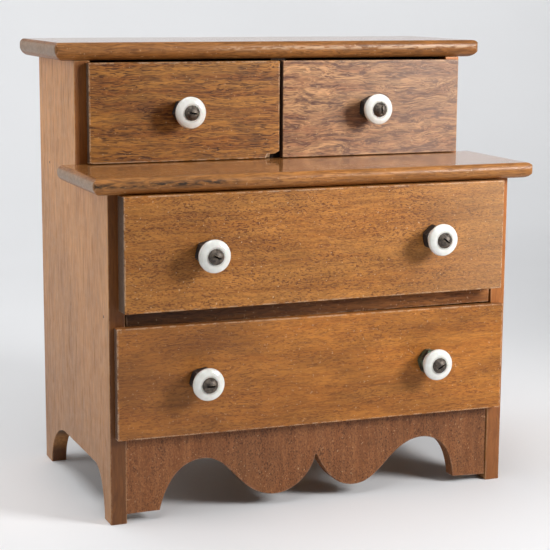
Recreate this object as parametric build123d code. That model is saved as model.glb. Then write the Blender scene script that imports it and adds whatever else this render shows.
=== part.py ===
from build123d import *
import os

# Miniature stepped chest of drawers, in millimetres. Left and right are as seen
# from the front. The pieces are laid out with X = 0 in the middle of the case,
# Y = 0 on the front edges of the lower side panels (the back is towards +Y) and
# Z = 0 on the floor. The export then moves them all together, so that the origin
# is under the middle of the whole chest.

# Case
CASE_WIDTH = 254.0
CASE_DEPTH = 151.0
PANEL_THICKNESS = 9.6
STEP_HEIGHT = 191.8
CASE_HEIGHT = 262.0
UPPER_SETBACK = 66.5
BACK_THICKNESS = 5.0
ARRIS = 0.5
HALF_CASE = CASE_WIDTH / 2
INNER = HALF_CASE - PANEL_THICKNESS
INSIDE_BACK = CASE_DEPTH - BACK_THICKNESS

# Arch sawn out of the foot of each side panel: two quarter ellipses and a flat
ARCH_HEIGHT = 29.0
ARCH_FRONT = 13.0
ARCH_FRONT_REACH = 19.0
ARCH_BACK = 136.0
ARCH_BACK_REACH = 36.0

# The two bullnosed boards: thickness, overhangs and edge radii
STEP_BOARD_THICKNESS = 9.4
STEP_BOARD_FRONT = 11.6
STEP_BOARD_ENDS = 11.2
STEP_BOARD_NOSE = (5.6, 3.8)
TOP_BOARD_THICKNESS = 10.6
TOP_BOARD_FRONT = 4.3
TOP_BOARD_ENDS = 12.2
TOP_BOARD_NOSE = (6.3, 3.6)
FRONT_CORNER = 2.5
BACK_CORNER = 1.0
SHELF_TOP = STEP_HEIGHT + STEP_BOARD_THICKNESS

# Rail, runners, partition and apron
RAIL_BOTTOM = 114.4
RAIL_TOP = 126.0
RAIL_DEPTH = 19.0
RAIL_RECESS = 1.2
RAIL_END_GAPS = (0.9, 0.6)
PARTITION_X = (-3.0, 6.6)
RUNNER_WIDTH = 12.0
RUNNER_HEIGHT = 8.0
BLOCK_DEPTH = 12.0
BLOCK_BOTTOM = 31.0
APRON_RECESS = 1.2
APRON_THICKNESS = 9.0
APRON_TOP = 58.0
APRON_FEET_Z = (5.2, 3.6)
# Scallops from each foot to the cusp in the middle, as (x, z)
APRON_LEFT = [
    (-97, 5.4),
    (-91, 21),
    (-82, 30.5),
    (-66, 33.2),
    (-52, 23.5),
    (-40, 12),
    (-22, 7.2),
    (-7, 14.5),
]
APRON_CUSP = (1.4, 30.1)
APRON_RIGHT = [
    (8, 18),
    (19, 8.7),
    (32, 7.8),
    (47, 18),
    (60, 29),
    (74, 32.4),
    (86.5, 27),
    (92.5, 16.5),
    (94.8, 4.6),
]

# Drawers. A front is an overlay: it stands in front of the case's edges.
FRONT_GAP = 0.2
SIDE_GAP = 0.4
RUNNING_GAP = 0.3
THIN_FRONT = 5.6
THICK_FRONT = 12.0
FRONT_ARRIS = 0.6
BOX_THICKNESS = 5.0
BOX_BACK = 144.5
BOX_BACK_DROP = 2.0
BOTTOM_THICKNESS = 3.0
BOTTOM_RISE = 3.0
GROOVE_DEPTH = 2.0

# Each front's corners as (x, z), from the lower left one round anticlockwise,
# with its thickness; the box behind it; and its knobs as (x, z, slot angle, nut
# angle), in degrees anticlockwise. The bottom drawer's front hangs out of level.
DRAWERS = {
    "upper_left_drawer": {
        "front": [(-119.8, 201.6), (0.8, 201.6), (0.8, 260.9), (-119.8, 260.9)],
        "thickness": THIN_FRONT,
        "case_front": UPPER_SETBACK,
        "box_x": (-INNER + SIDE_GAP, PARTITION_X[0] - SIDE_GAP),
        "box_z": (SHELF_TOP + RUNNING_GAP, 259.5),
        "knobs": [(-61.1, 231.5, -10, 8)],
    },
    "upper_right_drawer": {
        "front": [(2.9, 201.6), (124.0, 201.6), (124.0, 260.4), (2.9, 260.9)],
        "thickness": THIN_FRONT,
        "case_front": UPPER_SETBACK,
        "box_x": (PARTITION_X[1] + SIDE_GAP, INNER - SIDE_GAP),
        "box_z": (SHELF_TOP + RUNNING_GAP, 259.5),
        "knobs": [(61.8, 230.9, 90, 25)],
    },
    "middle_drawer": {
        "front": [(-121.2, 125.2), (117.9, 125.2), (117.9, 191.2), (-121.2, 191.2)],
        "thickness": THICK_FRONT,
        "case_front": 0.0,
        "box_x": (-INNER + SIDE_GAP, INNER - SIDE_GAP),
        "box_z": (RAIL_TOP + RUNNING_GAP, 188.5),
        "knobs": [(-72.5, 157.4, -24, 15), (70.3, 159.1, -37, 40)],
    },
    "bottom_drawer": {
        "front": [(-124.0, 51.0), (123.2, 48.2), (123.2, 114.1), (-124.0, 116.0)],
        "thickness": THIN_FRONT,
        "case_front": 0.0,
        "box_x": (-INNER + SIDE_GAP, INNER - SIDE_GAP),
        "box_z": (APRON_TOP + RUNNING_GAP, 112.0),
        "knobs": [(-73.8, 82.8, 0, 12), (72.3, 82.2, 31, 50)],
    },
}

# Chip missing from the lower right corner of the upper left front: corner points
# as distances left of the corner and above it
CHIP = [(-1.0, -1.0), (9.4, -1.0), (8.3, 2.3), (2.7, 2.9), (-1.0, 5.0)]

# Knob, measured outwards from the front's face: a hexagon nut as a spacer, the
# ceramic, and a slotted round-head screw through all of it to a nut inside
NUT_ACROSS_CORNERS = 16.0
NUT_THICKNESS = 6.35
NUT_CHAMFER = 0.9
BACK_NUT_THICKNESS = 5.5
BORE_RADIUS = 3.3
SHANK_RADIUS = 3.1
CERAMIC_BASE_RADIUS = 7.0
CERAMIC_NECK = (6.9, 8.6)
CERAMIC_UNDERCUT = (8.6, 10.6)
CERAMIC_RIM = (9.5, 12.2)
CERAMIC_SHOULDER = (8.3, 13.9)
CERAMIC_FACE = (6.8, 14.6)
CERAMIC_LIP = (4.8, 14.8)
SEAT = 14.6
HEAD_RADIUS = 4.5
HEAD_SHOULDER = 0.5
HEAD_TOP = 18.0
SLOT_WIDTH = 1.1
SLOT_DEPTH = 1.1
SCREW_OVERRUN = 3.0

# Panel pins, driven flush
PIN_RADIUS = 0.5
PIN_HEAD_RADIUS = 0.9
PIN_HEAD_THICKNESS = 0.6
PIN_LENGTH = 17.0
SHORT_PIN_LENGTH = 11.0
SHELF_PIN_Z = STEP_HEIGHT + STEP_BOARD_THICKNESS / 2
SIDE_PINS_YZ = [(10.0, 120.5), (86.0, SHELF_PIN_Z), (128.0, SHELF_PIN_Z)]
TOP_PINS_Y = (80.0, 132.0)
SHELF_PINS_X = (-80.0, 0.0, 80.0)
BOX_PIN_ABOVE_FOOT = 14.0
BOX_PIN_BELOW_TOP = 12.0
BOX_FLOOR_PIN_SHARES = (0.2, 0.5, 0.8)

CORNERED = (Align.MIN, Align.MIN, Align.MIN)
STANDING = (Align.CENTER, Align.CENTER, Align.MIN)


def block(x_limits, y_limits, z_limits):
    """A rectangular board between three pairs of limits."""
    corner = Vector(x_limits[0], y_limits[0], z_limits[0])
    size = Vector(x_limits[1], y_limits[1], z_limits[1]) - corner
    return Pos(*corner) * Box(size.X, size.Y, size.Z, align=CORNERED)


def softened(board, radius=ARRIS):
    """A board with every arris worn slightly round."""
    return fillet(board.edges(), radius)


def upright(outline, y_limits):
    """A board cut to an outline of (x, z) points and standing between two Y limits."""
    face = Plane.XZ.offset(-y_limits[1]) * make_face(outline)
    return extrude(face, y_limits[1] - y_limits[0])


def pin(start, direction, length=PIN_LENGTH):
    """A flat-headed panel pin that starts flush with a face and runs into the wood."""
    shank = Cylinder(PIN_RADIUS, length, align=STANDING)
    head = Cylinder(PIN_HEAD_RADIUS, PIN_HEAD_THICKNESS, align=STANDING)
    return Plane(origin=start, z_dir=direction) * (shank + head)


def without(board, pieces):
    """A board with the holes that pins or screws need."""
    for piece in pieces:
        board = board - piece
    return board


def side_panel(side):
    """End board with a stepped front and an arched foot; side is -1 left, 1 right."""
    outline = Polyline(
        (0, 0),
        (0, STEP_HEIGHT),
        (UPPER_SETBACK, STEP_HEIGHT),
        (UPPER_SETBACK, CASE_HEIGHT),
        (CASE_DEPTH, CASE_HEIGHT),
        (CASE_DEPTH, 0),
        close=True,
    )
    front_centre = ARCH_FRONT + ARCH_FRONT_REACH
    back_centre = ARCH_BACK - ARCH_BACK_REACH
    flat = Rectangle(back_centre - front_centre, 2 * ARCH_HEIGHT)
    arch = Pos((front_centre + back_centre) / 2, 0) * flat
    arch += Pos(front_centre, 0) * Ellipse(ARCH_FRONT_REACH, ARCH_HEIGHT)
    arch += Pos(back_centre, 0) * Ellipse(ARCH_BACK_REACH, ARCH_HEIGHT)
    face = make_face(outline) - arch
    inner_face = min(side * HALF_CASE, side * INNER)
    panel = extrude(Plane.YZ.offset(inner_face) * face, PANEL_THICKNESS)
    centre_x = side * (HALF_CASE - PANEL_THICKNESS / 2)
    step_corner = Vector(centre_x, UPPER_SETBACK, STEP_HEIGHT)
    arrises = panel.edges().filter_by(lambda edge: (edge.center() - step_corner).length > ARRIS)
    return fillet(arrises, ARRIS)


def bullnosed_board(half_width, y_limits, bottom, thickness, nose):
    """Board with a rounded front and ends, a flat back and rounded plan corners.

    nose is the pair of edge radii, below and above.
    """
    depth = y_limits[1] - y_limits[0]
    middle = (y_limits[0] + y_limits[1]) / 2
    ends = Rectangle(2 * half_width, thickness)
    ends = fillet(ends.vertices().group_by(Axis.Y)[0], nose[0])
    ends = fillet(ends.vertices().group_by(Axis.Y)[-1], nose[1])
    front = Rectangle(depth, thickness)
    front = fillet(front.vertices().group_by(Axis.X)[0].sort_by(Axis.Y)[0], nose[0])
    front = fillet(front.vertices().group_by(Axis.X)[0].sort_by(Axis.Y)[-1], nose[1])
    plan = Rectangle(2 * half_width, depth)
    plan = fillet(plan.vertices().group_by(Axis.Y)[0], FRONT_CORNER)
    plan = fillet(plan.vertices().group_by(Axis.Y)[-1], BACK_CORNER)
    board = extrude(Plane.XZ * ends, depth, both=True)
    board &= extrude(Plane.YZ * front, half_width, both=True)
    board &= extrude(plan, thickness, both=True)
    return Pos(0, middle, bottom + thickness / 2) * board


def apron():
    """Scalloped board between the front feet, sawn by hand and a little uneven."""
    foot_left, foot_right = APRON_FEET_Z
    left = Spline(*APRON_LEFT, APRON_CUSP)
    right = Spline(APRON_CUSP, *APRON_RIGHT)
    rest = Polyline(
        APRON_RIGHT[-1],
        (INNER, foot_right),
        (INNER, APRON_TOP),
        (-INNER, APRON_TOP),
        (-INNER, foot_left),
        APRON_LEFT[0],
    )
    board = upright(left + right + rest, (APRON_RECESS, APRON_RECESS + APRON_THICKNESS))
    return softened(board)


def carcase_pins():
    """Pins of the carcase, through side panels, top and back."""
    pins = []
    runner_x = INNER - RUNNER_WIDTH / 2
    panel_x = HALF_CASE - PANEL_THICKNESS / 2
    top_z = CASE_HEIGHT + TOP_BOARD_THICKNESS
    for side in (-1, 1):
        for y, z in SIDE_PINS_YZ:
            pins.append(pin((side * HALF_CASE, y, z), (-side, 0, 0)))
        for y in TOP_PINS_Y:
            pins.append(pin((side * panel_x, y, top_z), (0, 0, -1)))
        for runner_top in (RAIL_TOP, APRON_TOP):
            start = (side * runner_x, CASE_DEPTH, runner_top - RUNNER_HEIGHT / 2)
            pins.append(pin(start, (0, -1, 0), SHORT_PIN_LENGTH))
    for x in SHELF_PINS_X:
        pins.append(pin((x, CASE_DEPTH, SHELF_PIN_Z), (0, -1, 0), SHORT_PIN_LENGTH))
    return pins


def carcase():
    """Every fixed board of the case, with the pins that hold it together."""
    boards = {}
    boards["top_board"] = bullnosed_board(
        HALF_CASE + TOP_BOARD_ENDS,
        (UPPER_SETBACK - TOP_BOARD_FRONT, CASE_DEPTH),
        CASE_HEIGHT,
        TOP_BOARD_THICKNESS,
        TOP_BOARD_NOSE,
    )
    boards["step_board"] = bullnosed_board(
        HALF_CASE + STEP_BOARD_ENDS,
        (-STEP_BOARD_FRONT, UPPER_SETBACK),
        STEP_HEIGHT,
        STEP_BOARD_THICKNESS,
        STEP_BOARD_NOSE,
    )
    shelf_z = (STEP_HEIGHT, SHELF_TOP)
    boards["upper_shelf"] = block((-INNER, INNER), (UPPER_SETBACK, INSIDE_BACK), shelf_z)
    partition_z = (SHELF_TOP, CASE_HEIGHT)
    boards["upper_partition"] = block(PARTITION_X, (UPPER_SETBACK, INSIDE_BACK), partition_z)
    rail_x = (-INNER + RAIL_END_GAPS[0], INNER - RAIL_END_GAPS[1])
    rail_y = (RAIL_RECESS, RAIL_RECESS + RAIL_DEPTH)
    boards["middle_rail"] = softened(block(rail_x, rail_y, (RAIL_BOTTOM, RAIL_TOP)))
    boards["apron"] = apron()
    back_z = (ARCH_HEIGHT, CASE_HEIGHT)
    boards["back_panel"] = softened(block((-INNER, INNER), (INSIDE_BACK, CASE_DEPTH), back_z))
    apron_back = APRON_RECESS + APRON_THICKNESS
    runner_starts = {"middle": (rail_y[1], RAIL_TOP), "bottom": (apron_back, APRON_TOP)}
    for side, name in ((-1, "left"), (1, "right")):
        boards["side_panel_" + name] = side_panel(side)
        strip_x = sorted((side * INNER, side * (INNER - RUNNER_WIDTH)))
        for level, (start_y, top_z) in runner_starts.items():
            runner_z = (top_z - RUNNER_HEIGHT, top_z)
            runner = block(strip_x, (start_y, INSIDE_BACK), runner_z)
            boards[level + "_runner_" + name] = runner
        block_y = (apron_back, apron_back + BLOCK_DEPTH)
        block_z = (BLOCK_BOTTOM, APRON_TOP - RUNNER_HEIGHT)
        boards["apron_block_" + name] = block(strip_x, block_y, block_z)
    pins = carcase_pins()
    nodes = {name: without(board, pins) for name, board in boards.items()}
    nodes["carcase_pins"] = pins
    return nodes


def hexagon_nut(thickness):
    """Chamfered hexagon nut with a plain bore, standing on Z = 0."""
    radius = NUT_ACROSS_CORNERS / 2
    prism = extrude(RegularPolygon(radius, 6), thickness)
    envelope = Cylinder(radius, thickness, align=STANDING)
    envelope = chamfer(envelope.edges().filter_by(GeomType.CIRCLE), NUT_CHAMFER)
    return (prism & envelope) - Cylinder(BORE_RADIUS, thickness, align=STANDING)


def ceramic_knob():
    """Turned knob with a narrow neck, a rounded rim and a domed face."""
    base = (CERAMIC_BASE_RADIUS, NUT_THICKNESS)
    outline = [
        Line((BORE_RADIUS, NUT_THICKNESS), base),
        ThreePointArc(base, CERAMIC_NECK, CERAMIC_UNDERCUT),
        ThreePointArc(CERAMIC_UNDERCUT, CERAMIC_RIM, CERAMIC_SHOULDER),
        ThreePointArc(CERAMIC_SHOULDER, CERAMIC_FACE, CERAMIC_LIP),
        Polyline(CERAMIC_LIP, (CERAMIC_LIP[0], SEAT), (BORE_RADIUS, SEAT), (BORE_RADIUS, NUT_THICKNESS)),
    ]
    return revolve(Plane.XZ * make_face(outline), Axis.Z)


def knob_screw(front_thickness, slot_angle):
    """Round-head screw with a saw slot, long enough to pass through the nut inside."""
    rim = SEAT + HEAD_SHOULDER
    dome_height = HEAD_TOP - rim
    ball = (HEAD_RADIUS**2 + dome_height**2) / (2 * dome_height)
    dome = Pos(0, 0, HEAD_TOP - ball) * Sphere(ball)
    dome &= Pos(0, 0, rim) * Cylinder(HEAD_RADIUS, dome_height, align=STANDING)
    head = dome + Pos(0, 0, SEAT) * Cylinder(HEAD_RADIUS, HEAD_SHOULDER, align=STANDING)
    slot = Box(4 * HEAD_RADIUS, SLOT_WIDTH, 2 * SLOT_DEPTH)
    head -= Pos(0, 0, HEAD_TOP) * Rot(Z=slot_angle) * slot
    tip = front_thickness + BACK_NUT_THICKNESS + SCREW_OVERRUN
    shank = Pos(0, 0, -tip) * Cylinder(SHANK_RADIUS, SEAT + tip, align=STANDING)
    return head + shank


def drawer_front(spec, y_limits):
    """The overlay front, before its groove, holes and any damage."""
    outline = Polyline(*spec["front"], close=True)
    return softened(upright(outline, y_limits), FRONT_ARRIS)


def box_pins(x_limits, z_limits):
    """Pins through a drawer's sides and bottom into its back."""
    pins = []
    pin_y = BOX_BACK - BOX_THICKNESS / 2
    for z in (z_limits[0] + BOX_PIN_ABOVE_FOOT, z_limits[1] - BOX_PIN_BELOW_TOP):
        pins.append(pin((x_limits[0], pin_y, z), (1, 0, 0), SHORT_PIN_LENGTH))
        pins.append(pin((x_limits[1], pin_y, z), (-1, 0, 0), SHORT_PIN_LENGTH))
    underside = z_limits[0] + BOTTOM_RISE
    width = x_limits[1] - x_limits[0]
    for share in BOX_FLOOR_PIN_SHARES:
        start = (x_limits[0] + share * width, pin_y, underside)
        pins.append(pin(start, (0, 0, 1), SHORT_PIN_LENGTH))
    return pins


def knob_sets(spec, face_y, thickness):
    """For each knob: the ceramic, spacer nut, screw and inner nut, in place."""
    sets = []
    for x, z, slot_angle, nut_angle in spec["knobs"]:
        place = Pos(x, face_y, z) * Rot(X=90)
        inner_nut = Pos(0, 0, -thickness - BACK_NUT_THICKNESS) * hexagon_nut(BACK_NUT_THICKNESS)
        pieces = (
            ceramic_knob(),
            Rot(Z=nut_angle) * hexagon_nut(NUT_THICKNESS),
            knob_screw(thickness, slot_angle),
            inner_nut,
        )
        sets.append([place * piece for piece in pieces])
    return sets


def drawer(spec):
    """One drawer: overlay front, pinned box, bottom in grooves, and its knobs."""
    thickness = spec["thickness"] - FRONT_GAP
    face_y = spec["case_front"] - spec["thickness"]
    box_y = (spec["case_front"] - FRONT_GAP, BOX_BACK)
    left, right = spec["box_x"]
    low, high = spec["box_z"]
    pins = box_pins((left, right), (low, high))
    floor_z = (low + BOTTOM_RISE, low + BOTTOM_RISE + BOTTOM_THICKNESS)
    floor_x = (left + BOX_THICKNESS - GROOVE_DEPTH, right - BOX_THICKNESS + GROOVE_DEPTH)
    floor = block(floor_x, (box_y[0] - GROOVE_DEPTH, BOX_BACK), floor_z)
    side_left = softened(block((left, left + BOX_THICKNESS), box_y, (low, high)))
    side_right = softened(block((right - BOX_THICKNESS, right), box_y, (low, high)))
    back_x = (left + BOX_THICKNESS, right - BOX_THICKNESS)
    back_y = (BOX_BACK - BOX_THICKNESS, BOX_BACK)
    back = block(back_x, back_y, (floor_z[1], high - BOX_BACK_DROP))
    front = drawer_front(spec, (face_y, box_y[0])) - floor
    sets = knob_sets(spec, face_y, thickness)
    for x, z, _, _ in spec["knobs"]:
        bore = Cylinder(BORE_RADIUS, 2 * thickness, align=STANDING)
        front -= Pos(x, box_y[0] + thickness / 2, z) * Rot(X=90) * bore
    nodes = {
        "front": front,
        "side_left": without(side_left - floor, pins),
        "side_right": without(side_right - floor, pins),
        "back": without(back, pins),
        "bottom": without(floor, pins),
        "pins": pins,
    }
    if len(sets) == 1:
        names = ("knob", "spacer_nut", "knob_screw", "back_nut")
        nodes.update(zip(names, sets[0]))
        return nodes
    knobs, spacers, screws, inner_nuts = zip(*sets)
    nodes["knob_left"], nodes["knob_right"] = knobs
    nodes["spacer_nuts"] = list(spacers)
    nodes["knob_screws"] = list(screws)
    nodes["back_nuts"] = list(inner_nuts)
    return nodes


def chipped(front, corner, y_limits):
    """The upper left front with the splinter gone from its lower right corner."""
    points = [(corner[0] - left, corner[1] + up) for left, up in CHIP]
    return front - upright(Polyline(*points, close=True), y_limits)


def chest():
    """All nodes of the chest by name, each one solid or a list of like solids."""
    nodes = carcase()
    for drawer_name, spec in DRAWERS.items():
        for piece_name, shape in drawer(spec).items():
            nodes[drawer_name + "_" + piece_name] = shape
    spec = DRAWERS["upper_left_drawer"]
    whole_front = nodes["upper_left_drawer_front"]
    chip_y = (spec["case_front"] - spec["thickness"] - ARRIS, spec["case_front"])
    nodes["upper_left_drawer_front"] = chipped(whole_front, spec["front"][1], chip_y)
    return nodes


def main():
    os.makedirs("parts", exist_ok=True)
    nodes = chest()
    screws = nodes["middle_drawer_knob_screws"]
    foremost = min(screw.bounding_box().min.Y for screw in screws)
    to_origin = Pos(0, -(foremost + CASE_DEPTH) / 2, 0)
    for name, shape in nodes.items():
        if isinstance(shape, list):
            placed = Compound(children=[to_origin * piece for piece in shape])
        else:
            placed = to_origin * shape
        export_step(placed, os.path.join("parts", name + ".step"))


main()
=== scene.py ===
import math

import bpy
from mathutils import Matrix, Vector


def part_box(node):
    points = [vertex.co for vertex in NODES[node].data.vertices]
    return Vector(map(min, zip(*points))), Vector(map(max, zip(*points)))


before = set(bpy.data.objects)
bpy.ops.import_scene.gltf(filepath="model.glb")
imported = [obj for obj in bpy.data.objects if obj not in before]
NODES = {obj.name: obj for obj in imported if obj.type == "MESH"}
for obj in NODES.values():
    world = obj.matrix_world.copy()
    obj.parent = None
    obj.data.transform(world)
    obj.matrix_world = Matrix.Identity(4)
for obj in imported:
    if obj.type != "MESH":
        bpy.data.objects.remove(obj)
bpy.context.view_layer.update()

# Looks for a miniature stepped chest of drawers. Lengths are metres; the material
# code works in millimetres, because grain, pores and wear are a few millimetres.
MM = 0.001

# Camera: place, turn in degrees, and lens, for a square picture
CAMERA_PLACE = Vector((-0.3717, -0.9100, 0.3034))
CAMERA_YAW = 22.12
CAMERA_PITCH = 10.10
CAMERA_ROLL = 0.36
CAMERA_LENS = 104.75
SENSOR_WIDTH = 36.0

# Studio
SWEEP_HALF_WIDTH = 4.0
SWEEP_FRONT = -3.0
SWEEP_BEND_START = 0.9
SWEEP_BEND_RADIUS = 0.9
SWEEP_TOP = 3.5
SWEEP_BEND_STEPS = 24
PAPER_TONES = ((240, 241, 243), (237, 238, 240))
PAPER_CLOUD_SIZE = 400.0
PAPER_ROUGHNESS = 0.85
WORLD_LEVEL = 0.05
EVERY_WAY = 180.0
LIGHTS = {
    "key": dict(place=(0.45, -0.50, 0.43), target=(0.03, 0.05, 0.21), size=(0.26, 0.28),
                power=1.45, spread=85.0),
    "left_fill": dict(place=(-1.5, 0.2, 0.95), target=(0.0, 0.0, 0.14), size=(1.2, 1.2),
                      power=8.5, spread=EVERY_WAY),
    "overhead": dict(place=(-0.4, -0.1, 1.9), target=(-0.3, -0.1, 0.0), size=(2.4, 1.0),
                     power=24.0, spread=EVERY_WAY),
    "backdrop": dict(place=(1.4, 0.6, 2.0), target=(1.0, 1.8, 0.7), size=(1.8, 0.6),
                     power=9.0, spread=100.0),
}

# Direction names for the grain of a board
ACROSS_X = (1, 0, 0)
ALONG_Y = (0, 1, 0)
UPRIGHT_Z = (0, 0, 1)

# Features of oak, in mm along the grain and across it
SWAY_SIZE = (40.0, 15.0)
SWAY_REACH = 16.0
BAND_SIZE = (90.0, 6.0)
FIBRE_SIZE = (14.0, 1.3)
CROWDING_SIZE = (34.0, 13.0)
PATCH_SIZE = (60.0, 26.0)
SWIRL_SIZE = (17.0, 3.4)
DUST_SIZE = 1.5
RAY_SIZE = 1.8
WEAR_SIZE = 6.0
WEAR_REACH = 1.4
OAK_RELIEF = 0.07
FIBRE_HEIGHT = 0.4
PORE_DEPTH = 0.8
PORE_MATTNESS = 0.14
GLINT_SHARE = 0.8

# Features of bare softwood, in mm along the grain and across it
RING_SIZE = (150.0, 3.2)
HAIR_SIZE = (30.0, 0.6)
STAIN_SIZE = 45.0
SOFTWOOD_WEAR_REACH = 0.8
SOFTWOOD_RELIEF = 0.08

# Knobs, in mm: the darker ring of dirt and painted shade round the screw, and what the brass shows, with
# painted shade in its slots
DARKER_RING_RADIUS = (6.0, 5.2)
RUBBED_REACH = 0.35
SLOT_REACH = 1.4
VERDIGRIS_X = (60.0, 90.0)

# Screen tones from 0 to 255; a board's are its dark, middle and light
SIDE_TONES = ((118, 72, 34), (163, 110, 58), (187, 134, 80))
TOP_TONES = ((68, 34, 12), (133, 83, 38), (164, 111, 60))
STEP_TONES = ((76, 38, 14), (146, 92, 42), (178, 122, 66))
RAIL_TONES = ((40, 20, 8), (96, 56, 24), (130, 84, 40))
# The partition's tones are near black: painted shade, as it is seen only in the shadowed gap between the
# upper drawers
PARTITION_SHADE_TONES = ((16, 9, 5), (30, 18, 10), (44, 28, 16))
APRON_TONES = ((66, 32, 16), (124, 74, 38), (156, 104, 64))
WORN_OAK = (206, 172, 140)
OAK_END = (92, 72, 58)
DUST = (222, 190, 152)
SOFTWOOD_TONES = ((178, 142, 98), (132, 94, 56))
SOFTWOOD_HAIR = (110, 76, 44)
WORN_SOFTWOOD = (190, 158, 118)
GLAZE_TONES = ((240, 238, 232), (228, 225, 217))
# Dirt and painted shade round a knob's screw
DIRT_AND_SHADE = (150, 136, 116)
SCREW_TONES = ((70, 64, 60), (118, 108, 98))
NUT_TONES = ((40, 44, 50), (78, 80, 84))
SCUFFED_BRASS = (142, 122, 98)
RUBBED_BRASS = (152, 134, 108)
VERDIGRIS = (96, 116, 98)
# Near black in screw slots and nut corners: painted shade
SLOT_SHADE = (8, 6, 6)
PIN_TONES = ((52, 40, 32), (104, 88, 74))

# How much light the front edge of each side panel keeps, by red, green and blue
EDGE_SHADES = {"left": (0.38, 0.28, 0.14, 1.0), "right": (0.70, 0.52, 0.34, 1.0)}


def srgb(red, green, blue):
    """A screen colour from 0 to 255 as the linear colour that the shaders take."""
    def linear(level):
        level = level / 255
        return level / 12.92 if level <= 0.04045 else ((level + 0.055) / 1.055) ** 2.4
    return (linear(red), linear(green), linear(blue), 1.0)


class Shader:
    """A material's node tree, with a short call for each kind of node used here."""

    def __init__(self, name):
        self.material = bpy.data.materials.new(name)
        self.material.use_nodes = True
        self.nodes = self.material.node_tree.nodes
        self.links = self.material.node_tree.links
        self.nodes.clear()
        self.output = self.nodes.new("ShaderNodeOutputMaterial")
        self.surface = self.nodes.new("ShaderNodeBsdfPrincipled")
        self.links.new(self.surface.outputs["BSDF"], self.output.inputs["Surface"])
        place = self.nodes.new("ShaderNodeTexCoord").outputs["Object"]
        self.place = self.vector("SCALE", place, scale=1 / MM)

    def feed(self, socket, value):
        """Link a socket's value, or set it if it is a plain number, colour or vector."""
        if isinstance(value, bpy.types.NodeSocket):
            self.links.new(value, socket)
        else:
            socket.default_value = value

    def vector(self, operation, first, second=None, scale=None):
        node = self.nodes.new("ShaderNodeVectorMath")
        node.operation = operation
        self.feed(node.inputs[0], first)
        if second is not None:
            self.feed(node.inputs[1], second)
        if scale is not None:
            self.feed(node.inputs["Scale"], scale)
        scalar = operation in ("DOT_PRODUCT", "LENGTH")
        return node.outputs["Value" if scalar else "Vector"]

    def math(self, operation, first, second=0.0, clamp=False):
        node = self.nodes.new("ShaderNodeMath")
        node.operation = operation
        node.use_clamp = clamp
        self.feed(node.inputs[0], first)
        self.feed(node.inputs[1], second)
        return node.outputs[0]

    def times(self, first, *factors):
        """Product of two or more numbers."""
        product = first
        for factor in factors:
            product = self.math("MULTIPLY", product, factor)
        return product

    def mix(self, amount, first, second, blend="MIX"):
        """first at an amount of 0 and second at 1; both are colours."""
        node = self.nodes.new("ShaderNodeMix")
        node.data_type = "RGBA"
        node.blend_type = blend
        self.feed(node.inputs[0], amount)
        self.feed(node.inputs[6], first)
        self.feed(node.inputs[7], second)
        return node.outputs[2]

    def noise(self, place, size, detail=2.0, roughness=0.5, distortion=0.0, offset=0.0):
        """Noise between about 0.3 and 0.7 whose features are size mm on each axis.

        Noises of one material have different offsets, so that they don't coincide.
        """
        if not isinstance(size, tuple):
            size = (size, size, size)
        stretch = tuple(1 / length for length in size)
        scaled = self.vector("MULTIPLY", place, stretch)
        if offset:
            scaled = self.vector("ADD", scaled, (offset, 1.7 * offset, 2.3 * offset))
        node = self.nodes.new("ShaderNodeTexNoise")
        self.feed(node.inputs["Vector"], scaled)
        node.inputs["Scale"].default_value = 1.0
        node.inputs["Detail"].default_value = detail
        node.inputs["Roughness"].default_value = roughness
        node.inputs["Distortion"].default_value = distortion
        return node.outputs["Fac"]

    def span(self, value, low, high, to_low=0.0, to_high=1.0):
        """value's range from low to high, spread smoothly over the second range."""
        node = self.nodes.new("ShaderNodeMapRange")
        node.interpolation_type = "SMOOTHSTEP"
        self.feed(node.inputs["Value"], value)
        node.inputs["From Min"].default_value = low
        node.inputs["From Max"].default_value = high
        node.inputs["To Min"].default_value = to_low
        node.inputs["To Max"].default_value = to_high
        return node.outputs["Result"]

    def axis(self, name):
        """The place along X, Y or Z, in mm."""
        node = self.nodes.new("ShaderNodeSeparateXYZ")
        self.feed(node.inputs[0], self.place)
        return node.outputs[name]

    def normal(self):
        return self.nodes.new("ShaderNodeNewGeometry").outputs["Normal"]

    def facing(self, direction):
        """How squarely the surface faces a direction or its opposite, 0 to 1."""
        return self.math("ABSOLUTE", self.vector("DOT_PRODUCT", self.normal(), direction))

    def arris(self, reach):
        """1 on a worn edge and 0 away from it, reach mm either side."""
        bevel = self.nodes.new("ShaderNodeBevel")
        bevel.samples = 6
        bevel.inputs["Radius"].default_value = reach * MM
        normal = self.nodes.new("ShaderNodeNewGeometry").outputs["True Normal"]
        alike = self.vector("DOT_PRODUCT", bevel.outputs["Normal"], normal)
        return self.span(alike, 0.996, 0.955)

    def crevice(self, reach):
        """1 in a slot or corner narrower than reach mm, and 0 on an open surface."""
        node = self.nodes.new("ShaderNodeAmbientOcclusion")
        node.samples = 8
        node.inputs["Distance"].default_value = reach * MM
        return self.span(node.outputs["AO"], 0.88, 0.60)

    def bump(self, height, distance):
        """Relief that is distance mm high where height is 1."""
        node = self.nodes.new("ShaderNodeBump")
        node.inputs["Distance"].default_value = distance * MM
        node.inputs["Strength"].default_value = 1.0
        self.feed(node.inputs["Height"], height)
        self.feed(self.surface.inputs["Normal"], node.outputs["Normal"])

    def finish(self, colour, roughness, **settings):
        """The material, once its colour, roughness and any other settings are fed in."""
        self.feed(self.surface.inputs["Base Color"], colour)
        self.feed(self.surface.inputs["Roughness"], roughness)
        for name, value in settings.items():
            self.feed(self.surface.inputs[name.replace("_", " ").title()], value)
        return self.material


def sized(grain, size):
    """Size on each axis of a feature, given along the grain and across it."""
    along, across = size
    return tuple(along if component else across for component in grain)


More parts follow.
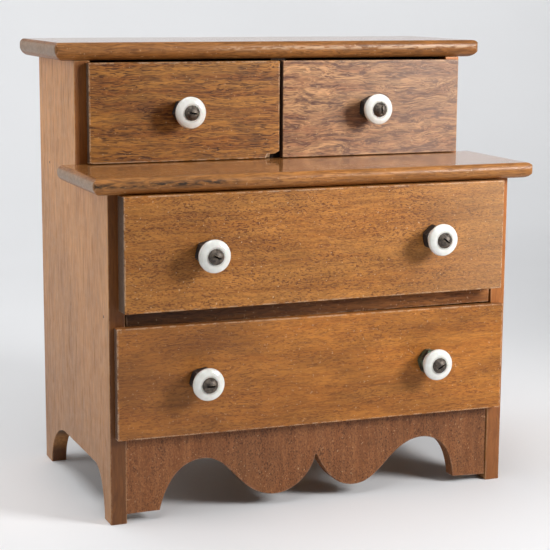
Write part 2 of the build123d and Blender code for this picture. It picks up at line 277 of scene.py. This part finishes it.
def oak(name, grain, seed, tones, fleck=0.6, fleck_size=(6.0, 1.0), streak=0.5, warp=0.5,
        cloud=0.12, figure=0.0, specks=0.3, wear=0.6, end_tone=OAK_END, gloss=0.45,
        coat=0.08, coat_roughness=0.3, polish=0.0, shine=0.3, tint=None):
    """Varnished oak. tones are its dark, middle and light screen colours.

    fleck, streak, cloud, figure, specks, wear and shine say how strongly each of them
    shows, and warp how far the grain sways. polish is the coat on a flat top; a worn
    nose and ends have lost it. tint changes the finished colour of the whole board.
    """
    shader = Shader(name)
    dark, middle, light = (srgb(*tone) for tone in tones)
    place = shader.vector("ADD", shader.place, (seed * 37.0, seed * 23.0, seed * 11.0))
    sway = shader.noise(place, sized(grain, SWAY_SIZE), detail=2.0)
    sway = shader.times(shader.math("SUBTRACT", sway, 0.5), warp * SWAY_REACH)
    across_grain = tuple(1.0 - component for component in grain)
    wavy = shader.vector("ADD", place, shader.vector("SCALE", across_grain, scale=sway))

    bands = shader.noise(wavy, sized(grain, BAND_SIZE), detail=3.0, roughness=0.6)
    fibre = shader.noise(wavy, sized(grain, FIBRE_SIZE), detail=3.0, roughness=0.7, offset=5.1)
    colour = shader.mix(shader.span(bands, 0.36, 0.64, 0.0, streak), middle, light)
    shade = shader.span(fibre, 0.3, 0.7, 1.0 - 0.5 * streak, 1.0 + 0.5 * streak)
    colour = shader.vector("SCALE", colour, scale=shade)
    if figure:
        swirl = shader.noise(wavy, sized(grain, SWIRL_SIZE), detail=3.0, roughness=0.6,
                             distortion=0.2, offset=41.0)
        colour = shader.mix(shader.span(swirl, 0.50, 0.62, 0.0, figure), colour, dark)

    glints = shader.noise(wavy, sized(grain, fleck_size), detail=1.0, offset=17.3)
    pale = shader.times(shader.span(glints, 0.53, 0.66), fleck * GLINT_SHARE)
    colour = shader.mix(pale, colour, light)
    pores = shader.noise(wavy, sized(grain, fleck_size), detail=1.0, roughness=0.6, offset=9.7)
    crowding = shader.noise(place, sized(grain, CROWDING_SIZE), detail=2.0, offset=31.0)
    pore_mask = shader.times(shader.span(pores, 0.52, 0.62),
                             shader.span(crowding, 0.3, 0.66, 0.45, 1.0))
    colour = shader.mix(shader.times(pore_mask, fleck), colour, dark)

    patches = shader.noise(place, sized(grain, PATCH_SIZE), detail=2.0, offset=3.9)
    shade = shader.span(patches, 0.32, 0.68, 1.0 - cloud, 1.0 + cloud)
    colour = shader.vector("SCALE", colour, scale=shade)
    dust = shader.noise(place, DUST_SIZE, detail=1.0, offset=13.1)
    colour = shader.mix(shader.times(shader.span(dust, 0.70, 0.76), specks), colour, srgb(*DUST))

    rays = shader.noise(place, RAY_SIZE, detail=3.0, offset=27.0)
    end_grain = shader.vector("SCALE", srgb(*end_tone)[:3], scale=shader.span(rays, 0.35, 0.65, 0.86, 1.12))
    colour = shader.mix(shader.span(shader.facing(grain), 0.70, 0.92), colour, end_grain)
    if tint is not None:
        colour = tint(shader, colour)

    patchy = shader.noise(place, WEAR_SIZE, detail=5.0, roughness=0.75, offset=21.0)
    worn = shader.times(shader.arris(WEAR_REACH), shader.span(patchy, 0.44, 0.54), wear)
    colour = shader.mix(worn, colour, srgb(*WORN_OAK))

    handled = shader.span(patchy, 0.3, 0.7, gloss - 0.05, gloss + 0.07)
    rough = shader.math("ADD", handled, shader.times(pore_mask, PORE_MATTNESS))
    relief = shader.math("ADD", shader.times(fibre, FIBRE_HEIGHT), shader.times(pore_mask, -PORE_DEPTH))
    shader.bump(relief, OAK_RELIEF)
    if polish:
        level = shader.vector("DOT_PRODUCT", shader.normal(), UPRIGHT_Z)
        coat = shader.span(level, 0.93, 0.99, coat, polish)
    shader.surface.inputs["Specular IOR Level"].default_value = shine
    return shader.finish(colour, rough, coat_weight=coat, coat_roughness=coat_roughness)


def softwood(name, grain, seed):
    """Bare pale wood of the drawer boxes and the inside of the case, gone brown."""
    shader = Shader(name)
    place = shader.vector("ADD", shader.place, (seed * 31.0, seed * 17.0, seed * 7.0))
    rings = shader.noise(place, sized(grain, RING_SIZE), detail=3.0, roughness=0.55)
    hair = shader.noise(place, sized(grain, HAIR_SIZE), detail=2.0, offset=4.0)
    stain = shader.noise(place, STAIN_SIZE, detail=3.0, offset=8.0)
    early, late = (srgb(*tone) for tone in SOFTWOOD_TONES)
    colour = shader.mix(shader.span(rings, 0.38, 0.62), early, late)
    colour = shader.mix(shader.span(hair, 0.35, 0.75, 0.0, 0.45), colour, srgb(*SOFTWOOD_HAIR))
    colour = shader.vector("SCALE", colour, scale=shader.span(stain, 0.3, 0.7, 0.72, 1.12))
    worn = shader.times(shader.arris(SOFTWOOD_WEAR_REACH), 0.4)
    colour = shader.mix(worn, colour, srgb(*WORN_SOFTWOOD))
    shader.bump(hair, SOFTWOOD_RELIEF)
    return shader.finish(colour, shader.span(stain, 0.3, 0.7, 0.62, 0.78))


def glazed(name, centre):
    """White glazed ceramic, with dirt specks, and a ring of dirt and painted shade where the screw and the
    neck meet it.
    """
    shader = Shader(name)
    from_axis = shader.vector("SUBTRACT", shader.place, tuple(centre / MM))
    from_axis = shader.vector("MULTIPLY", from_axis, (1.0, 0.0, 1.0))
    radius = shader.vector("LENGTH", from_axis)
    cloudy = shader.noise(shader.place, 4.0, detail=3.0)
    specks = shader.noise(shader.place, 0.8, detail=1.0, offset=6.0)
    clean, dull = (srgb(*tone) for tone in GLAZE_TONES)
    colour = shader.mix(shader.span(cloudy, 0.3, 0.7), clean, dull)
    # A ring of dirt and painted shade round the screw, and dirt specks over the glaze
    dirt_and_shade = shader.math("ADD", shader.span(radius, *DARKER_RING_RADIUS), shader.span(specks, 0.72, 0.80, 0.0, 0.5))
    dirt_and_shade = shader.math("MULTIPLY", dirt_and_shade, 0.3, clamp=True)
    colour = shader.mix(dirt_and_shade, colour, srgb(*DIRT_AND_SHADE))
    shader.bump(cloudy, 0.05)
    rough = shader.span(cloudy, 0.3, 0.7, 0.10, 0.20)
    return shader.finish(colour, rough, coat_weight=0.6, coat_roughness=0.06, subsurface_weight=0.06)


def patinated(name, seed, tones, green=False):
    """Dark patinated brass, with verdigris on one of the spacer nuts if green is set."""
    shader = Shader(name)
    dark, light = (srgb(*tone) for tone in tones)
    place = shader.vector("ADD", shader.place, (seed * 13.0, 0.0, seed * 5.0))
    mottle = shader.noise(place, 1.6, detail=4.0, roughness=0.65)
    scuffs = shader.noise(place, (2.4, 0.5, 0.5), detail=2.0, offset=9.0)
    colour = shader.mix(shader.span(mottle, 0.35, 0.65), dark, light)
    colour = shader.mix(shader.span(scuffs, 0.6, 0.75, 0.0, 0.5), colour, srgb(*SCUFFED_BRASS))
    rubbed = shader.times(shader.arris(RUBBED_REACH), shader.span(mottle, 0.4, 0.6))
    colour = shader.mix(rubbed, colour, srgb(*RUBBED_BRASS))
    # Painted shade: near black in slots and corners
    colour = shader.mix(shader.crevice(SLOT_REACH), colour, srgb(*SLOT_SHADE))
    if green:
        across = shader.axis("X")
        low, high = VERDIGRIS_X
        inside = shader.times(shader.math("GREATER_THAN", across, low),
                              shader.math("LESS_THAN", across, high))
        patches = shader.noise(place, 4.5, detail=2.0, offset=3.0)
        bloom = shader.times(inside, shader.span(patches, 0.36, 0.52))
        colour = shader.mix(bloom, colour, srgb(*VERDIGRIS))
    shader.bump(mottle, 0.06)
    rough = shader.span(mottle, 0.3, 0.7, 0.44, 0.64)
    return shader.finish(colour, rough, metallic=0.75)


def tarnished(name):
    """Dull steel of the panel pins."""
    shader = Shader(name)
    dark, light = (srgb(*tone) for tone in PIN_TONES)
    mottle = shader.noise(shader.place, 0.7, detail=3.0)
    colour = shader.mix(shader.span(mottle, 0.35, 0.65), dark, light)
    shader.bump(mottle, 0.03)
    return shader.finish(colour, shader.span(mottle, 0.3, 0.7, 0.45, 0.7), metallic=0.6)


def nose_band(low, high, left, right, tone, amount):
    """Tint of a broken band between two heights and two X places, in mm: pale wear and a painted highlight
    on the top board's nose, a dark dent line and painted shade on the step board's.
    """
    def tint(shader, colour):
        height = shader.axis("Z")
        across = shader.axis("X")
        middle = (low + high) / 2
        fade = 12
        band = shader.times(shader.span(height, low, middle), shader.span(height, high, middle))
        reach = shader.times(shader.span(across, left - fade, left + fade),
                             shader.span(across, right + fade, right - fade))
        broken = shader.span(shader.noise(shader.place, (7.0, 4.0, 1.6), detail=3.0), 0.42, 0.58)
        front = shader.span(shader.facing(ALONG_Y), 0.5, 0.8)
        return shader.mix(shader.times(band, reach, broken, front, amount), colour, srgb(*tone))
    return tint


def painted_light_ramp(start, end, tone, amount):
    """Painted light and shade on a front: its colour changes from X = start mm towards one of its ends."""
    def tint(shader, colour):
        changed = shader.span(shader.axis("X"), start, end, 0.0, amount)
        return shader.mix(changed, colour, srgb(*tone))
    return tint


def painted_light_side(edge_shade):
    """Tint of a side panel: painted light that makes it paler towards its top, and painted shadow on its
    front edge.
    """
    def tint(shader, colour):
        # Painted light: brighter towards the top; below it, painted shadow on the front edge
        painted_light_scale = shader.span(shader.axis("Z"), 0.0, 270.0, 1.0, 1.75)
        edge = shader.span(shader.facing(ALONG_Y), 0.80, 0.97)
        return shader.mix(edge, shader.vector("SCALE", colour, scale=painted_light_scale), edge_shade, blend="MULTIPLY")
    return tint


def painted_light_rail(shader, colour):
    """Tint of the rail: painted light, darker towards its left end and brighter towards its right end."""
    painted_light_scale = shader.span(shader.axis("X"), -90.0, 110.0, 0.75, 2.1)
    return shader.vector("SCALE", colour, scale=painted_light_scale)


def dress(node, material):
    """Give a CAD piece its finish."""
    mesh_materials = NODES[node].data.materials
    mesh_materials.clear()
    mesh_materials.append(material)


def dress_case():
    """Finishes of the carcase, apart from its pins."""
    # Side panels: painted light towards their tops and painted shadow on their front edges
    for seed, (side, edge_shade) in enumerate(EDGE_SHADES.items(), start=1):
        panel = "side_panel_" + side
        dress(panel, oak("oak_" + panel, UPRIGHT_Z, seed, SIDE_TONES, streak=0.3, fleck=0.3,
                         fleck_size=(26.0, 1.6), cloud=0.08, specks=0.1, wear=0.3, gloss=0.40,
                         coat_roughness=0.25, shine=0.42, tint=painted_light_side(edge_shade)))
    # Pale wear and a painted highlight along the middle of the top board's nose
    pale_nose = nose_band(low=266.8, high=270.4, left=-40, right=150, tone=(214, 178, 142), amount=0.6)
    dress("top_board", oak("oak_top_board", ACROSS_X, 3, TOP_TONES, fleck=0.5, fleck_size=(8.0, 0.7),
                           streak=0.55, end_tone=(154, 126, 102), wear=0.4, gloss=0.42, polish=1.0,
                           coat_roughness=0.14, tint=pale_nose))
    # A dark dent line and painted shade on the left of the step board's nose
    darker_nose = nose_band(low=194.4, high=200.2, left=-150, right=-58, tone=(44, 32, 20), amount=1.0)
    dress("step_board", oak("oak_step_board", ACROSS_X, 4, STEP_TONES, fleck=0.45, fleck_size=(8.0, 0.7),
                            end_tone=(160, 132, 108), wear=0.4, gloss=0.42, polish=1.0,
                            coat_roughness=0.12, tint=darker_nose))
    # The rail's tint is painted light, brighter towards its right end
    dress("middle_rail", oak("oak_rail", ACROSS_X, 5, RAIL_TONES, fleck=0.4, wear=0.8, tint=painted_light_rail))
    dress("apron", oak("oak_apron", UPRIGHT_Z, 6, APRON_TONES, streak=0.35, fleck=0.65,
                       fleck_size=(1.3, 0.8), warp=0.3, cloud=0.1, wear=0.35))
    # Near black partition: painted shade
    dress("upper_partition", oak("oak_partition", UPRIGHT_Z, 11, PARTITION_SHADE_TONES, specks=0.0,
                                 wear=0.0, coat=0.0, shine=0.1))
    crosswise = softwood("softwood_inside", ACROSS_X, 1)
    for name in ("upper_shelf", "back_panel"):
        dress(name, crosswise)
    depthwise = softwood("softwood_depthwise", ALONG_Y, 2)
    for side in ("left", "right"):
        for name in ("apron_block_", "middle_runner_", "bottom_runner_"):
            dress(name + side, depthwise)


def front_looks():
    """How each drawer front's oak differs, from the top of the chest down, with painted light and shade
    towards one end of three fronts.
    """
    return {
        "upper_left": dict(seed=7, tones=((56, 22, 6), (124, 72, 24), (161, 107, 45)), fleck=0.8,
                           fleck_size=(6.0, 0.6), streak=0.9, wear=1.0),
        "upper_right": dict(seed=8, tones=((78, 43, 34), (138, 91, 58), (184, 137, 92)), fleck=0.6,
                            fleck_size=(7.0, 0.7), streak=0.85, warp=1.0, figure=0.8,
                            # Painted light and reflection: paler and greyer towards the right end
                            tint=painted_light_ramp(-10.0, 110.0, (156, 134, 120), 0.35)),
        "middle": dict(seed=9, tones=((84, 36, 10), (152, 94, 38), (186, 126, 60)), fleck=0.75,
                       fleck_size=(2.0, 0.6), streak=0.55, specks=0.6, wear=1.0,
                       # Painted light: paler towards the right end
                       tint=painted_light_ramp(30.0, 120.0, (170, 138, 106), 0.3)),
        "bottom": dict(seed=10, tones=((92, 46, 12), (156, 94, 34), (184, 120, 50)), fleck=0.5,
                       fleck_size=(3.0, 0.7), streak=0.45, cloud=0.2, wear=1.0,
                       # Painted shade: darker towards the left end
                       tint=painted_light_ramp(30.0, -120.0, (96, 60, 42), 0.35)),
    }


def dress_hardware(piece, number):
    """Finish of a knob, screw or nut of the drawer with this number."""
    if "screw" in piece:
        dress(piece, patinated("patina_" + piece, number, SCREW_TONES))
    elif "nut" in piece:
        green = piece == "bottom_drawer_spacer_nuts"
        dress(piece, patinated("patina_" + piece, number, NUT_TONES, green))
    elif "knob" in piece:
        low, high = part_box(piece)
        dress(piece, glazed("glaze_" + piece, (low + high) / 2))


def dress_drawers():
    """Finishes of the four drawers and their knobs, and of all the panel pins."""
    pin_steel = tarnished("tarnished_pins")
    dress("carcase_pins", pin_steel)
    for number, (level, look) in enumerate(front_looks().items()):
        drawer = level + "_drawer_"
        dress(drawer + "front", oak("oak_" + level + "_front", ACROSS_X, **look))
        lengthwise = softwood("softwood_" + level + "_sides", ALONG_Y, number + 3)
        for piece in ("side_left", "side_right"):
            dress(drawer + piece, lengthwise)
        crosswise = softwood("softwood_" + level + "_back", ACROSS_X, number + 8)
        for piece in ("back", "bottom"):
            dress(drawer + piece, crosswise)
        dress(drawer + "pins", pin_steel)
        for piece in NODES:
            if piece.startswith(drawer):
                dress_hardware(piece, number)


def build_sweep():
    """Pale studio floor that curves up into a backdrop."""
    profile = [(SWEEP_FRONT, 0.0), (SWEEP_BEND_START, 0.0)]
    for step in range(1, SWEEP_BEND_STEPS + 1):
        angle = math.pi / 2 * step / SWEEP_BEND_STEPS
        y = SWEEP_BEND_START + SWEEP_BEND_RADIUS * math.sin(angle)
        z = SWEEP_BEND_RADIUS * (1 - math.cos(angle))
        profile.append((y, z))
    profile.append((profile[-1][0], SWEEP_TOP))
    points = [(x, y, z) for y, z in profile for x in (-SWEEP_HALF_WIDTH, SWEEP_HALF_WIDTH)]
    faces = [(2 * i, 2 * i + 1, 2 * i + 3, 2 * i + 2) for i in range(len(profile) - 1)]
    mesh = bpy.data.meshes.new("sweep")
    mesh.from_pydata(points, [], faces)
    mesh.shade_smooth()
    sweep = bpy.data.objects.new("sweep", mesh)
    bpy.context.scene.collection.objects.link(sweep)
    shader = Shader("pale_paper")
    cloudy = shader.noise(shader.place, PAPER_CLOUD_SIZE, detail=2.0)
    clean, dull = (srgb(*tone) for tone in PAPER_TONES)
    colour = shader.mix(shader.span(cloudy, 0.3, 0.7), clean, dull)
    mesh.materials.append(shader.finish(colour, PAPER_ROUGHNESS))


def area_light(name, place, target, size, power, spread):
    """Rectangular lamp that faces its target; spread is its cone in degrees."""
    light = bpy.data.lights.new(name, "AREA")
    light.shape = "RECTANGLE"
    light.size, light.size_y = size
    light.energy = power
    light.spread = math.radians(spread)
    lamp = bpy.data.objects.new(name, light)
    lamp.location = place
    lamp.rotation_euler = (Vector(target) - Vector(place)).to_track_quat("-Z", "Y").to_euler()
    bpy.context.scene.collection.objects.link(lamp)


def build_lights():
    """Key close on the right, fill from the left, soft light overhead, and a dim room."""
    world = bpy.data.worlds.new("studio")
    world.use_nodes = True
    background = world.node_tree.nodes["Background"]
    background.inputs["Color"].default_value = (1.0, 1.0, 1.0, 1.0)
    background.inputs["Strength"].default_value = WORLD_LEVEL
    bpy.context.scene.world = world
    for name, settings in LIGHTS.items():
        area_light(name, **settings)


def build_camera():
    """Camera in front of the chest, to its left and a little above its top."""
    yaw, pitch, roll = (math.radians(v) for v in (CAMERA_YAW, CAMERA_PITCH, CAMERA_ROLL))
    ahead = Vector((math.sin(yaw) * math.cos(pitch), math.cos(yaw) * math.cos(pitch), -math.sin(pitch)))
    right = Vector((math.cos(yaw), -math.sin(yaw), 0.0))
    up = right.cross(ahead)
    tilted_right = math.cos(roll) * right + math.sin(roll) * up
    tilted_up = math.cos(roll) * up - math.sin(roll) * right
    turn = Matrix((tilted_right, tilted_up, -ahead)).transposed().to_4x4()
    data = bpy.data.cameras.new("camera")
    data.sensor_width = SENSOR_WIDTH
    data.lens = CAMERA_LENS
    camera = bpy.data.objects.new("camera", data)
    camera.matrix_world = Matrix.Translation(CAMERA_PLACE) @ turn
    bpy.context.scene.collection.objects.link(camera)
    bpy.context.scene.camera = camera


build_camera()
dress_case()
dress_drawers()
build_sweep()
build_lights()
bpy.context.scene.view_settings.view_transform = "Standard"
